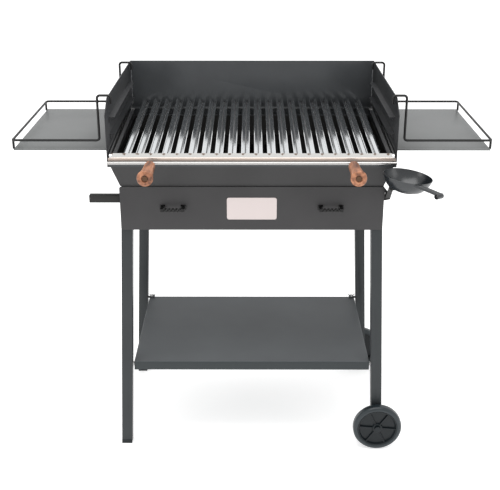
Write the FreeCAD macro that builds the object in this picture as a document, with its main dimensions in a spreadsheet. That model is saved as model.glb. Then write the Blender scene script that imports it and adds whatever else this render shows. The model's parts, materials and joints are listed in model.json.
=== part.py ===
import FreeCAD, Part
import math
import os
import re
import Sketcher

# Charcoal grill with a V-bar cooking grate, in millimetres.
# X runs to the right, Y to the back and Z up. The origin lies on the floor, midway across and
# midway between the end of the drip pan's handle and the back wall.
# Names that end in _y in the tables below are measured back from the front edges of the side walls.

SIZES = {
    "body_width": 758.0,
    "body_depth": 556.0,
    "wall_sheet": 2.0,
    "shield_height": 173.0,
    "wall_bottom": 872.0,
    "shield_notch_run": 50.0,
    "shield_notch_drop": 34.0,
    "hopper_bottom": 815.0,
    "hopper_step": 8.0,
    "hopper_front_step": 2.0,
    "hopper_run": 19.0,
    "floor_sheet": 2.0,
    "ash_slot_width": 9.0,
    "ash_slot_length": 290.0,
    "ash_slot_margin": 58.0,
    "ash_slots": 15.0,
    "leg_tube": 30.0,
    "leg_gauge": 1.5,
    "leg_front_y": 24.0,
    "leg_spacing": 431.0,
    "foot_spread": 9.5,
    "leg_splay": 2.8,
    "foot_height": 14.0,
    "foot_plug": 16.0,
    "right_leg_bottom": 44.0,
    "guide_flange": 15.0,
    "guide_sheet": 2.0,
    "guide_front_y": 60.0,
    "guide_length": 427.0,
    "guide_low": 946.0,
    "guide_high": 991.0,
    "rail_clearance": 0.3,
    "grate_tilt": 2.5,
    "grate_base": 881.0,
    "trough_sheet": 1.2,
    "trough_depth": 47.0,
    "trough_weir": 3.2,
    "lip_diameter": 8.0,
    "drain_width": 18.0,
    "drain_height": 3.5,
    "strip_sheet": 1.5,
    "strip_depth": 11.0,
    "strip_top": 16.0,
    "grate_clearance": 1.0,
    "bar_width": 22.0,
    "bar_depth": 14.0,
    "bar_gauge": 1.5,
    "bar_margin": 39.25,
    "bars": 20.0,
    "bar_length": 532.5,
    "bar_lap": 1.5,
    "side_bar_gauge": 6.0,
    "side_bar_inset": 4.0,
    "side_bar_nose": 12.0,
    "cross_bar_y": 480.0,
    "cross_bar_width": 20.0,
    "cross_bar_gauge": 1.5,
    "grip_length": 126.0,
    "grip_neck": 27.0,
    "grip_collar": 24.0,
    "grip_collar_width": 29.0,
    "grip_groove": 1.5,
    "grip_tilt": 2.5,
    "grip_end": 41.0,
    "grip_curve": 650.0,
    "grip_rounding": 6.0,
    "grip_gap": 30.0,
    "grip_spacing": 526.0,
    "grip_rod": 8.0,
    "grip_bore_play": 0.3,
    "grip_recess": 18.0,
    "grip_recess_depth": 5.0,
    "grip_screw": 13.0,
    "grip_screw_head": 3.0,
    "front_sheet": 2.0,
    "front_height": 123.0,
    "front_overlap": 2.0,
    "front_gap": 3.0,
    "front_corner": 6.0,
    "front_leg_gap": 4.0,
    "tray_sheet": 1.5,
    "tray_height": 105.0,
    "tray_depth": 415.0,
    "tray_play": 2.0,
    "runner_flange": 14.0,
    "runner_sheet": 2.0,
    "runner_top": 704.0,
    "badge_width": 134.0,
    "badge_height": 62.0,
    "badge_thickness": 1.5,
    "badge_corner": 6.0,
    "handle_span": 56.0,
    "handle_bar": 7.0,
    "handle_post": 8.0,
    "handle_reach": 22.0,
    "handle_spacing": 424.0,
    "handle_drop": 58.0,
    "handle_twist": 450.0,
    "handle_steps": 20.0,
    "handle_foot": 14.0,
    "handle_foot_thickness": 2.0,
    "lift_bar_tube": 20.0,
    "lift_bar_gauge": 1.5,
    "lift_bar_reach": 87.0,
    "lift_bar_centre": 773.0,
    "lift_bar_cap": 3.0,
    "shelf_height": 277.0,
    "shelf_gap": 4.9,
    "shelf_sheet": 1.5,
    "shelf_lip": 27.0,
    "shelf_front_y": 28.0,
    "shelf_depth": 440.0,
    "shelf_bend": 2.5,
    "spacer_diameter": 11.0,
    "bolt_drop": 12.0,
    "lug_width": 22.0,
    "lug_sheet": 2.0,
    "wing_hub": 10.0,
    "wing_hub_height": 7.0,
    "wing_span": 24.0,
    "wing_height": 11.0,
    "wing_gauge": 2.5,
    "axle_diameter": 12.0,
    "axle_height": 71.0,
    "axle_play": 0.05,
    "axle_head": 18.0,
    "axle_head_height": 4.0,
    "axle_nut": 22.0,
    "axle_nut_height": 8.0,
    "axle_end_play": 0.3,
    "wheel_diameter": 142.0,
    "wheel_width": 28.0,
    "wheel_gap": 3.0,
    "wheel_rim": 116.0,
    "wheel_web": 4.0,
    "wheel_web_inset": 8.0,
    "wheel_hub": 28.0,
    "wheel_rib": 3.0,
    "wheel_ribs": 6.0,
    "wheel_hub_nose": 3.0,
    "tyre_shoulder": 5.0,
    "tyre_clearance": 0.2,
    "wheel_rim_gauge": 3.0,
    "wheel_rib_step": 2.0,
    "table_rod": 6.5,
    "table_reach": 258.0,
    "table_rail_height": 928.0,
    "table_front_y": 60.0,
    "table_depth": 445.0,
    "table_stand_off": 26.0,
    "table_bend": 8.0,
    "hook_drop": 18.0,
    "hook_clearance": 0.3,
    "table_plate_top": 906.5,
    "table_sheet": 1.5,
    "table_plate_lip": 3.5,
    "table_plate_gap": 0.3,
    "table_plate_shift": 10.0,
    "table_plate_post": 15.0,
    "pan_rim": 128.0,
    "pan_floor": 88.0,
    "pan_depth": 33.0,
    "pan_sheet": 1.6,
    "pan_side_radius": 60.0,
    "pan_rim_height": 866.5,
    "pan_corner_gap": 21.5,
    "pan_front_y": 57.0,
    "pan_tilt": 7.8,
    "pan_handle_length": 72.0,
    "pan_handle_width": 14.0,
    "pan_handle_gauge": 4.0,
    "pan_handle_turn": 42.0,
    "pan_handle_place": 16.0,
    "pan_loop": 18.0,
    "pan_loop_hole": 9.0,
    "ear_sheet": 3.0,
    "ear_low": 773.0,
    "ear_reach": 20.0,
    "ear_height": 40.0,
    "ear_drop": 24.0,
    "arm_width": 13.0,
    "arm_gauge": 3.0,
    "arm_drop": 39.0,
    "arm_bend_y": 30.0,
    "seat_diameter": 56.0,
    "seat_thickness": 6.0,
    "seat_clearance": 0.3,
    "overrun": 5.0,
}

FORMULAS = {
    "half_width": "body_width / 2",
    "wall_inside": "half_width - wall_sheet",
    "grip_reach": "grip_gap + grip_length",
    "pan_root": "pan_rim / 2 - pan_sheet",
    "arm_height": "pan_rim_height - arm_drop",
    "pan_handle_reach": "pan_root * cos(pan_handle_place) + pan_handle_length * cos(pan_handle_turn)",
    "pan_reach": "pan_front_y + pan_handle_reach + pan_loop / 2",
    "front_edge": "(max(grip_reach + lip_run; pan_reach) - body_depth) / 2",
    "shield_top": "wall_bottom + shield_height",
    "hopper_fall": "wall_bottom - hopper_bottom",
    "lip_run": "rail_clearance + lip_diameter / 2",
    "lip_front": "lip_run * cos(grate_tilt) + lip_diameter / 2 * sin(grate_tilt)",
    "lip_rise": "lip_diameter / 2 * cos(grate_tilt) - lip_run * sin(grate_tilt)",
    "trough_base": "trough_sheet - trough_weir",
    "front_wall_top": "grate_base + trough_base - rail_clearance",
    "foot_half_width": "half_width + foot_spread",
    "leg_run": "leg_tube / cos(leg_splay)",
    "leg_gauge_run": "leg_gauge / cos(leg_splay)",
    "leg_top": "hopper_bottom - floor_sheet",
    "leg_rear_y": "leg_front_y + leg_spacing",
    "axle_inset": "axle_height * tan(leg_splay) + leg_run / 2",
    "axle_x": "foot_half_width - axle_inset",
    "pan_centre_x": "half_width + pan_corner_gap",
    "wheel_radius": "wheel_diameter / 2",
    "rim_radius": "wheel_rim / 2",
    "panel_run": "wall_sheet * sqrt(hopper_fall * hopper_fall + hopper_run * hopper_run) / hopper_fall",
    "hopper_half_top": "half_width - hopper_step",
    "ash_slot_pitch": "2 * (hopper_half_bottom - ash_slot_margin) / (ash_slots - 1)",
    "hopper_hem": "hopper_half_top - panel_run",
    "hopper_half_bottom": "hopper_half_top - hopper_run",
    "hopper_back_top": "body_depth - hopper_step",
    "hopper_back_bottom": "hopper_back_top - hopper_run",
    "hopper_front_bottom": "hopper_front_step + hopper_run",
    "front_top": "hopper_bottom - front_gap",
    "front_face_y": "leg_front_y - front_leg_gap - front_sheet",
    "front_back_y": "front_face_y + front_sheet",
    "front_half": "hopper_half_bottom + front_overlap",
    "runner_outside": "foot_half_width - (runner_top + runner_flange) * leg_slant - leg_run",
    "tray_half": "foot_half_width - (tray_bottom + tray_height) * leg_slant - leg_run - tray_play",
    "tray_bottom": "runner_top + rail_clearance",
    "side_bar_outside": "wall_inside - side_bar_inset",
    "side_bar_inside": "side_bar_outside - side_bar_gauge",
    "grate_bottom": "lip_diameter + 2 * rail_clearance",
    "bar_pitch": "2 * (side_bar_inside - bar_margin) / (bars - 1)",
    "bar_apex": "grate_bottom + cross_bar_gauge",
    "bar_top": "bar_apex + bar_depth",
    "strip_back": "bar_top + strip_sheet",
    "grate_back": "bar_front + bar_length",
    "trough_floor": "trough_base + trough_sheet",
    "trough_back": "grate_bottom - rail_clearance",
    "bar_front": "strip_depth - bar_lap",
    "bar_skin": "bar_gauge * sqrt(bar_width * bar_width / 4 + bar_depth * bar_depth) / bar_depth",
    "bar_skin_apex": "bar_skin * 2 * bar_depth / bar_width",
    "grip_height": "grate_base + lip_rise",
    "grip_root": "lip_diameter / 2 + rail_clearance",
    "grip_core": "grip_length - grip_recess_depth",
    "shelf_half": "foot_half_width - shelf_height * leg_slant - leg_run - shelf_gap",
    "shelf_back_y": "shelf_front_y + shelf_depth",
    "shelf_bolt_height": "shelf_height - bolt_drop",
    "shelf_spacer_end": "foot_half_width - (shelf_bolt_height + spacer_diameter / 2) * leg_slant - leg_run",
    "leg_slant": "tan(leg_splay)",
    "lift_bar_end": "foot_half_width - lift_bar_centre * leg_slant + lift_bar_reach",
    "half_turn": "2 * acos(0)",
    "wheel_front_y": "leg_front_y - wheel_gap - wheel_width",
    "wheel_rear_y": "leg_rear_y + leg_tube + wheel_gap",
    "table_hook_height": "shield_top + hook_clearance + table_rod / 2",
    "table_rail_outside": "half_width + table_reach",
    "table_upright": "half_width + table_stand_off",
    "table_plate_low": "table_plate_top - table_plate_lip",
    "handle_height": "front_top - handle_drop",
    "badge_centre": "front_top - front_height / 2",
}

DOC = FreeCAD.newDocument("CharcoalGrill")
SHEET = DOC.addObject("Spreadsheet::Sheet", "Sizes")
NODES = []
WORD = re.compile(r"[a-z][a-z_]*")


def fill_sheet():
    """Writes the driving sizes as numbers and what follows from them as formulas."""
    cells = list(SIZES.items()) + [(name, "=" + formula) for name, formula in FORMULAS.items()]
    for row, (name, _) in enumerate(cells, start=1):
        SHEET.set(f"A{row}", name)
        SHEET.setAlias(f"B{row}", name)
    for row, (_, content) in enumerate(cells, start=1):
        SHEET.set(f"B{row}", str(content))
    DOC.recompute()


def bound(text):
    """Turns the size names in a formula into references to the sheet."""
    known = lambda word: word in SIZES or word in FORMULAS
    return WORD.sub(lambda found: "Sizes." + found[0] if known(found[0]) else found[0], text)


def size(text):
    """The present value of a formula of size names, in millimetres or degrees."""
    return float(SHEET.evalExpression(bound(text)))


def bind(thing, **formulas):
    """Ties properties of an object to formulas of size names."""
    for name, formula in formulas.items():
        thing.setExpression(name, bound(formula))


def place(thing, x="0", y="0", z="0", turn=None):
    """Puts an object at a point of the grill. turn is an axis and the name of an angle."""
    thing.setExpression("Placement.Base.x", bound(x))
    thing.setExpression("Placement.Base.y", bound(f"front_edge + {y}"))
    thing.setExpression("Placement.Base.z", bound(z))
    if turn:
        axis, angle = turn
        thing.Placement = FreeCAD.Placement(FreeCAD.Vector(), FreeCAD.Rotation(axis, size(angle)))
        thing.setExpression("Placement.Rotation.Angle", bound(angle))
    return thing


def node(thing, label):
    """Names a finished sub-part, which is written under that name."""
    thing.Label = label
    NODES.append(thing)
    return thing


def new_body(name):
    return DOC.addObject("PartDesign::Body", name)


def origin_feature(body, role):
    return next(item for item in body.Origin.OriginFeatures if item.Role == role)


def new_sketch(body, plane, raised="0"):
    """An empty sketch on one of the body's own planes, raised along the plane's normal."""
    sketch = body.newObject("Sketcher::SketchObject", f"{body.Name}Sketch")
    sketch.AttachmentSupport = [(origin_feature(body, plane), "")]
    sketch.MapMode = "FlatFace"
    sketch.setExpression("AttachmentOffset.Base.z", bound(raised))
    return sketch


def pin(sketch, item, end, across, up):
    """Ties a point of a sketch to two formulas, measured from the sketch's origin."""
    for kind, formula in (("DistanceX", across), ("DistanceY", up)):
        constraint = Sketcher.Constraint(kind, -1, 1, item, end, size(formula))
        index = sketch.addConstraint(constraint)
        sketch.setExpression(f"Constraints[{index}]", bound(formula))


def arc_between(start, end, radius):
    """A minor arc; it bulges to the right of the way from start to end where radius is above zero."""
    chord = end - start
    middle = (start + end) * 0.5
    reach = math.sqrt(max(radius**2 - chord.Length**2 / 4, 0.0))
    left = FreeCAD.Vector(-chord.y, chord.x, 0).normalize()
    centre = middle + left * math.copysign(reach, radius)
    circle = Part.Circle(centre, FreeCAD.Vector(0, 0, 1), abs(radius))
    first, last = (start, end) if radius > 0 else (end, start)
    return Part.ArcOfCircle(circle, circle.parameter(first), circle.parameter(last))


def outline(body, plane, points, raised="0"):
    """A closed outline. Each point holds two formulas, and a third for the radius of an arc to the next."""
    sketch = new_sketch(body, plane, raised)
    corners = [FreeCAD.Vector(size(point[0]), size(point[1]), 0) for point in points]
    ends = []
    for index, point in enumerate(points):
        start, end = corners[index], corners[(index + 1) % len(corners)]
        if len(point) == 2:
            sketch.addGeometry(Part.LineSegment(start, end), False)
            ends.append((1, 2))
            continue
        radius = size(point[2])
        sketch.addGeometry(arc_between(start, end, radius), False)
        ends.append((1, 2) if radius > 0 else (2, 1))
    for index in range(len(points)):
        after = (index + 1) % len(points)
        joint = Sketcher.Constraint("Coincident", index, ends[index][1], after, ends[after][0])
        sketch.addConstraint(joint)
    for index, point in enumerate(points):
        pin(sketch, index, ends[index][0], point[0], point[1])
        if len(point) == 3:
            radius = Sketcher.Constraint("Radius", index, abs(size(point[2])))
            number = sketch.addConstraint(radius)
            sketch.setExpression(f"Constraints[{number}]", f"abs({bound(point[2])})")
    return sketch


def circle(body, plane, across, up, radius, raised="0"):
    """A round outline round a point."""
    sketch = new_sketch(body, plane, raised)
    centre = FreeCAD.Vector(size(across), size(up), 0)
    sketch.addGeometry(Part.Circle(centre, FreeCAD.Vector(0, 0, 1), size(radius)), False)
    pin(sketch, 0, 3, across, up)
    index = sketch.addConstraint(Sketcher.Constraint("Radius", 0, size(radius)))
    sketch.setExpression(f"Constraints[{index}]", bound(radius))
    return sketch


def pad(body, sketch, length, middle=False, back=False):
    """Extrudes a sketch along its normal, to both sides alike, or against its normal."""
    feature = body.newObject("PartDesign::Pad", f"{body.Name}Pad")
    feature.Profile = sketch
    feature.Midplane = middle
    feature.Reversed = back
    bind(feature, Length=length)
    return feature


def cut(body, sketch, length):
    """Cuts a sketch out of the body, half of the length to each side of the sketch."""
    feature = body.newObject("PartDesign::Pocket", f"{body.Name}Pocket")
    feature.Profile = sketch
    feature.Midplane = True
    bind(feature, Length=length)
    return feature


def turned(body, sketch, axis):
    """Revolves a sketch a full turn about one of its own axes."""
    feature = body.newObject("PartDesign::Revolution", f"{body.Name}Turn")
    feature.Profile = sketch
    feature.ReferenceAxis = (sketch, [axis])
    feature.Angle = 360
    return feature


def loft(body, sections):
    """Joins outlines by straight walls."""
    feature = body.newObject("PartDesign::AdditiveLoft", f"{body.Name}Loft")
    feature.Profile = sections[0]
    feature.Sections = sections[1:]
    feature.Ruled = True
    return feature


def sided(points, side):
    """The points of an outline as they are on the right, or mirrored to the left."""
    if side == "right":
        return points
    flipped = []
    for point in points:
        radius = [f"-({point[2]})"] if len(point) == 3 else []
        flipped.append((f"-({point[0]})", point[1], *radius))
    return flipped


def ring_row(body, original, axis, copies):
    """Repeats a feature round an axis of the body."""
    pattern = body.newObject("PartDesign::PolarPattern", f"{body.Name}Ring")
    pattern.Originals = [original]
    pattern.Axis = (origin_feature(body, axis), [""])
    pattern.Angle = 360
    pattern.Occurrences = copies
    body.Tip = pattern
    return pattern


def row(body, original, sketch, axis, length, copies):
    """Repeats a feature along an axis of its sketch, over the given length."""
    pattern = body.newObject("PartDesign::LinearPattern", f"{body.Name}Row")
    pattern.Originals = [original]
    pattern.Direction = (sketch, [axis])
    bind(pattern, Length=length)
    pattern.Occurrences = copies
    body.Tip = pattern
    return pattern


def rectangle(left, low, right, high):
    return [(left, low), (right, low), (right, high), (left, high)]


def square(across, side):
    return rectangle(f"{across} - {side} / 2", f"-{side} / 2", f"{across} + {side} / 2", f"{side} / 2")


def rounded(half, low, high, radius):
    """A rectangle with rounded corners, alike to the left and right."""
    return [
        (f"-({half} - {radius})", low),
        (f"{half} - {radius}", low, radius),
        (half, f"{low} + {radius}"),
        (half, f"{high} - {radius}", radius),
        (f"{half} - {radius}", high),
        (f"-({half} - {radius})", high, radius),
        (f"-({half})", f"{high} - {radius}"),
        (f"-({half})", f"{low} + {radius}", radius),
    ]


def union(name, parts):
    item = DOC.addObject("Part::MultiFuse", name)
    item.Shapes = parts
    return item


def walls():
    """The windshield on both sides and the back, the front wall, and a hem along the foot of each."""
    for side in ("left", "right"):
        body = new_body(f"Wall{side.title()}")
        profile = [
            ("half_width", "wall_bottom"),
            ("half_width", "shield_top"),
            ("wall_inside", "shield_top"),
            ("wall_inside", "wall_bottom + wall_sheet"),
            ("hopper_hem", "wall_bottom + wall_sheet"),
            ("hopper_hem", "wall_bottom"),
        ]
        pad(body, outline(body, "XZ_Plane", sided(profile, side)), "body_depth", back=True)
        notch = [
            ("-overrun", "shield_top + overrun"),
            ("-overrun", "shield_top - shield_notch_drop"),
            ("0", "shield_top - shield_notch_drop"),
            ("shield_notch_run", "shield_top"),
            ("shield_notch_run", "shield_top + overrun"),
        ]
        cut(body, outline(body, "YZ_Plane", notch), "body_width + 2 * overrun")
        node(place(body), f"wall_{side}")
    back = new_body("WallBack")
    sheet = rectangle("-wall_inside", "wall_bottom + wall_sheet", "wall_inside", "shield_top")
    pad(back, outline(back, "XZ_Plane", sheet), "wall_sheet")
    hem = rectangle("-hopper_hem", "wall_bottom", "hopper_hem", "wall_bottom + wall_sheet")
    pad(back, outline(back, "XZ_Plane", hem), "hopper_step + panel_run")
    node(place(back, y="body_depth"), "wall_back")
    front = new_body("WallFront")
    sheet = rectangle("-wall_inside", "wall_bottom + wall_sheet", "wall_inside", "front_wall_top")
    pad(front, outline(front, "XZ_Plane", sheet), "wall_sheet", back=True)
    hem = rectangle("-hopper_hem", "wall_bottom", "hopper_hem", "wall_bottom + wall_sheet")
    pad(front, outline(front, "XZ_Plane", hem), "hopper_front_step + panel_run", back=True)
    node(place(front), "wall_front")


def hopper():
    """Four slanted panels below the walls, mitred at their corners by straight lofts."""
    narrow, wide = "hopper_half_bottom", "hopper_half_top"
    side_low = rectangle(f"{narrow} - panel_run", "hopper_front_bottom", narrow, "hopper_back_bottom")
    side_high = rectangle(f"{wide} - panel_run", "hopper_front_step", wide, "hopper_back_top")
    inner_low, inner_high = f"{narrow} - panel_run", f"{wide} - panel_run"
    front_low = rectangle(
        f"-({inner_low})", "hopper_front_bottom", inner_low, "hopper_front_bottom + panel_run"
    )
    front_high = rectangle(
        f"-({inner_high})", "hopper_front_step", inner_high, "hopper_front_step + panel_run"
    )
    back_low = rectangle(f"-({inner_low})", "hopper_back_bottom - panel_run", inner_low, "hopper_back_bottom")
    back_high = rectangle(f"-({inner_high})", "hopper_back_top - panel_run", inner_high, "hopper_back_top")
    panels = {
        "hopper_left": (sided(side_low, "left"), sided(side_high, "left")),
        "hopper_right": (side_low, side_high),
        "hopper_front": (front_low, front_high),
        "hopper_back": (back_low, back_high),
    }
    for label, (low, high) in panels.items():
        body = new_body(label.title().replace("_", ""))
        top = outline(body, "XY_Plane", high, raised="wall_bottom - hopper_bottom")
        loft(body, [outline(body, "XY_Plane", low), top])
        node(place(body, z="hopper_bottom"), label)


def ash_floor():
    """The slotted floor of the hopper, which lies on the tops of the legs."""
    body = new_body("AshFloor")
    plate = rectangle(
        "-hopper_half_bottom", "hopper_front_bottom", "hopper_half_bottom", "hopper_back_bottom"
    )
    pad(body, outline(body, "XY_Plane", plate), "floor_sheet")
    middle = "(hopper_front_bottom + hopper_back_bottom) / 2"
    left = "-(ash_slots - 1) * ash_slot_pitch / 2"
    slot = rectangle(
        f"{left} - ash_slot_width / 2",
        f"{middle} - ash_slot_length / 2",
        f"{left} + ash_slot_width / 2",
        f"{middle} + ash_slot_length / 2",
    )
    sketch = outline(body, "XY_Plane", slot)
    slots = cut(body, sketch, "2 * (floor_sheet + overrun)")
    count = round(size("ash_slots"))
    row(body, slots, sketch, "H_Axis", "(ash_slots - 1) * ash_slot_pitch", count)
    node(place(body, z="hopper_bottom - floor_sheet"), "ash_floor")


def slanted(low, high, side, inset="0"):
    """The outline of a leaning tube between two heights, drawn in by an inset on both sides."""
    edges = []
    for height in (low, high):
        edges.append(f"foot_half_width - ({height}) * leg_slant")
    points = [
        (f"{edges[0]} - leg_run + {inset}", low),
        (f"{edges[0]} - {inset}", low),
        (f"{edges[1]} - {inset}", high),
        (f"{edges[1]} - leg_run + {inset}", high),
    ]
    return sided(points, side)


def legs():
    """Square tubes that lean out to the sides. The left ones end in feet, the right ones at the wheels."""
    for end, edge in (("front", "leg_front_y"), ("rear", "leg_rear_y")):
        for side, bottom in (("left", "foot_height"), ("right", "right_leg_bottom")):
            body = new_body(f"Leg{end.title()}{side.title()}")
            tube = slanted(bottom, "leg_top", side)
            pad(body, outline(body, "XZ_Plane", tube), "leg_tube", middle=True)
            bore = slanted(f"{bottom} - overrun", "leg_top + overrun", side, "leg_gauge_run")
            cut(body, outline(body, "XZ_Plane", bore), "leg_tube - 2 * leg_gauge")
            if side == "right":
                hole = circle(body, "XZ_Plane", "axle_x", "axle_height", "axle_diameter / 2 + axle_play")
                cut(body, hole, "leg_tube + 2 * overrun")
            node(place(body, y=f"{edge} + leg_tube / 2"), f"leg_{end}_{side}")
        foot = new_body(f"Foot{end.title()}")
        block = slanted("0", "foot_height", "left")
        pad(foot, outline(foot, "XZ_Plane", block), "leg_tube", middle=True)
        plug = slanted("foot_height", "foot_height + foot_plug", "left", "leg_gauge_run")
        pad(foot, outline(foot, "XZ_Plane", plug), "leg_tube - 2 * leg_gauge", middle=True)
        node(place(foot, y=f"{edge} + leg_tube / 2"), f"foot_{end}_left")


def guides():
    """Angle bars that carry the cooking grate at two heights, and the ledge of the back wall."""
    for level, height in (("lower", "guide_low"), ("upper", "guide_high")):
        for side in ("left", "right"):
            body = new_body(f"Guide{level.title()}{side.title()}")
            profile = [
                ("wall_inside", height),
                ("wall_inside - guide_flange", height),
                ("wall_inside - guide_flange", f"{height} - guide_sheet"),
                ("wall_inside - guide_sheet", f"{height} - guide_sheet"),
                ("wall_inside - guide_sheet", f"{height} - guide_flange"),
                ("wall_inside", f"{height} - guide_flange"),
            ]
            pad(body, outline(body, "XZ_Plane", sided(profile, side)), "guide_length", back=True)
            node(place(body, y="guide_front_y"), f"guide_{level}_{side}")


def grate_guides():
    """Sloping angle bars on the side walls, on which the cooking grate slides."""
    for side in ("left", "right"):
        body = new_body(f"GuideBase{side.title()}")
        seat = "grate_bottom - rail_clearance"
        profile = [
            ("wall_inside", f"{seat} - guide_sheet"),
            ("wall_inside", f"{seat} + guide_flange - guide_sheet"),
            ("wall_inside - guide_sheet", f"{seat} + guide_flange - guide_sheet"),
            ("wall_inside - guide_sheet", seat),
            ("wall_inside - guide_flange", seat),
            ("wall_inside - guide_flange", f"{seat} - guide_sheet"),
        ]
        start = outline(body, "XZ_Plane", sided(profile, side), raised="-guide_front_y")
        pad(body, start, "guide_length", back=True)
        node(place(body, z="grate_base", turn=(FreeCAD.Vector(1, 0, 0), "grate_tilt")), f"guide_base_{side}")


def grate_piece(body, label):
    """Puts a piece of the cooking grate on its slope."""
    return node(place(body, z="grate_base", turn=(FreeCAD.Vector(1, 0, 0), "grate_tilt")), label)


def trough():
    """The grease trough under the front ends of the bars, with a rolled lip along the front."""
    body = new_body("GreaseTrough")
    pan = [
        ("-rail_clearance", "trough_base"),
        ("trough_depth", "trough_base"),
        ("trough_depth", "trough_back"),
        ("trough_depth - trough_sheet", "trough_back"),
        ("trough_depth - trough_sheet", "trough_floor"),
        ("-rail_clearance", "trough_floor"),
    ]
    inside = "wall_inside - grate_clearance"
    pad(body, outline(body, "YZ_Plane", pan), f"2 * ({inside})", middle=True)
    riser = rectangle("-rail_clearance - trough_sheet", "trough_base", "-rail_clearance", "lip_diameter / 2")
    pad(body, outline(body, "YZ_Plane", riser), "body_width", middle=True)
    roll = circle(body, "YZ_Plane", "-lip_run", "lip_diameter / 2", "lip_diameter / 2")
    pad(body, roll, "body_width", middle=True)
    bore = circle(body, "YZ_Plane", "-lip_run", "lip_diameter / 2", "lip_diameter / 2 - trough_sheet")
    cut(body, bore, "body_width + 2 * overrun")
    drain = rectangle(f"{inside} - drain_width", "trough_floor", inside, "trough_floor + drain_height")
    cut(body, outline(body, "XZ_Plane", drain), "2 * lip_diameter + 2 * overrun")
    grate_piece(body, "grease_trough")


def grate_bars():
    """The V-shaped bars, which carry grease to the front, and the strip that holds their front ends."""
    body = new_body("GrateBars")
    reach = "wall_inside - grate_clearance"
    face = rectangle(f"-({reach})", "grate_bottom", reach, "strip_top")
    pad(body, outline(body, "XZ_Plane", face), "strip_sheet", back=True)
    slab = [
        ("0", "strip_top - strip_sheet"),
        ("0", "strip_top"),
        ("strip_depth", "strip_back"),
        ("strip_depth", "bar_top"),
    ]
    width = "2 * side_bar_inside"
    pad(body, outline(body, "YZ_Plane", slab), width, middle=True)
    first = "-(bars - 1) * bar_pitch / 2"
    channel = [
        (f"{first} - bar_width / 2", "bar_top"),
        (first, "bar_apex"),
        (f"{first} + bar_width / 2", "bar_top"),
        (f"{first} + bar_width / 2 - bar_skin", "bar_top"),
        (first, "bar_apex + bar_skin_apex"),
        (f"{first} - bar_width / 2 + bar_skin", "bar_top"),
    ]
    sketch = outline(body, "XZ_Plane", channel, raised="-bar_front")
    bar = pad(body, sketch, "bar_length", back=True)
    row(body, bar, sketch, "H_Axis", "(bars - 1) * bar_pitch", round(size("bars")))
    grate_piece(body, "grate_bars")


def grate_frame():
    """The side bars with their rounded noses, and the cross bar under the back of the V bars."""
    for side in ("left", "right"):
        body = new_body(f"GrateSide{side.title()}")
        profile = [
            ("strip_sheet", "grate_bottom"),
            ("grate_back", "grate_bottom"),
            ("grate_back", "strip_back"),
            ("strip_sheet + side_bar_nose", "strip_back", "side_bar_nose"),
            ("strip_sheet", "strip_back - side_bar_nose"),
        ]
        inner = "side_bar_inside" if side == "right" else "-side_bar_outside"
        sketch = outline(body, "YZ_Plane", profile, raised=inner)
        pad(body, sketch, "side_bar_gauge")
        grate_piece(body, f"grate_side_{side}")
    cross = new_body("GrateCrossBar")
    flat = rectangle("-side_bar_inside", "grate_bottom", "side_bar_inside", "bar_apex")
    pad(cross, outline(cross, "XZ_Plane", flat, raised="-cross_bar_y"), "cross_bar_width", back=True)
    grate_piece(cross, "grate_cross_bar")


def grip_place(item, label, across):
    """Puts a piece of a grip on the trough's lip, tilted up towards its end."""
    tilt = (FreeCAD.Vector(-1, 0, 0), "grip_tilt")
    return node(place(item, x=across, y="-lip_front", z="grip_height", turn=tilt), label)


def grips():
    """Turned wooden grips on steel rods, each held by a screw in the recess of its end."""
    for side, across in (("left", "-grip_spacing / 2"), ("right", "grip_spacing / 2")):
        grip = new_body(f"Grip{side.title()}")
        hole = "grip_rod / 2 + grip_bore_play"
        collar = "grip_gap + grip_collar"
        profile = [
            ("-grip_gap", hole),
            ("-grip_gap", "grip_neck / 2"),
            (f"-({collar} - grip_groove)", "grip_collar_width / 2"),
            (f"-({collar})", "grip_collar_width / 2 - grip_groove"),
            (f"-({collar} + grip_groove)", "grip_collar_width / 2", "-grip_curve"),
            ("-(grip_reach - grip_rounding)", "grip_end / 2", "grip_rounding"),
            ("-grip_reach", "grip_end / 2 - grip_rounding"),
            ("-grip_reach", "grip_recess / 2"),
            ("-(grip_reach - grip_recess_depth)", "grip_recess / 2"),
            ("-(grip_reach - grip_recess_depth)", hole),
        ]
        turned(grip, outline(grip, "YZ_Plane", profile), "H_Axis")
        grip_place(grip, f"grip_{side}", across)
        rod = new_body(f"GripRod{side.title()}")
        shank = circle(rod, "XZ_Plane", "0", "0", "grip_rod / 2", raised="grip_root")
        pad(rod, shank, "grip_gap + grip_core - grip_root")
        head = circle(rod, "XZ_Plane", "0", "0", "grip_screw / 2", raised="grip_gap + grip_core")
        pad(rod, head, "grip_screw_head")
        grip_place(rod, f"grip_rod_{side}", across)


def lift_bars():
    """Closed square tubes on the left legs, by which that side is lifted."""
    low = "lift_bar_centre - lift_bar_tube / 2"
    high = "lift_bar_centre + lift_bar_tube / 2"
    for end, edge in (("front", "leg_front_y"), ("rear", "leg_rear_y")):
        body = new_body(f"LiftBar{end.title()}")
        profile = [
            ("-lift_bar_end", low),
            (f"-(foot_half_width - ({low}) * leg_slant)", low),
            (f"-(foot_half_width - ({high}) * leg_slant)", high),
            ("-lift_bar_end", high),
        ]
        pad(body, outline(body, "XZ_Plane", profile), "lift_bar_tube", middle=True)
        bore = rectangle(
            "-lift_bar_end + lift_bar_cap",
            f"{low} + lift_bar_gauge",
            "-(lift_bar_end - lift_bar_reach) + overrun",
            f"{high} - lift_bar_gauge",
        )
        cut(body, outline(body, "XZ_Plane", bore), "lift_bar_tube - 2 * lift_bar_gauge")
        node(place(body, y=f"{edge} + leg_tube / 2"), f"lift_bar_{end}")


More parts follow.
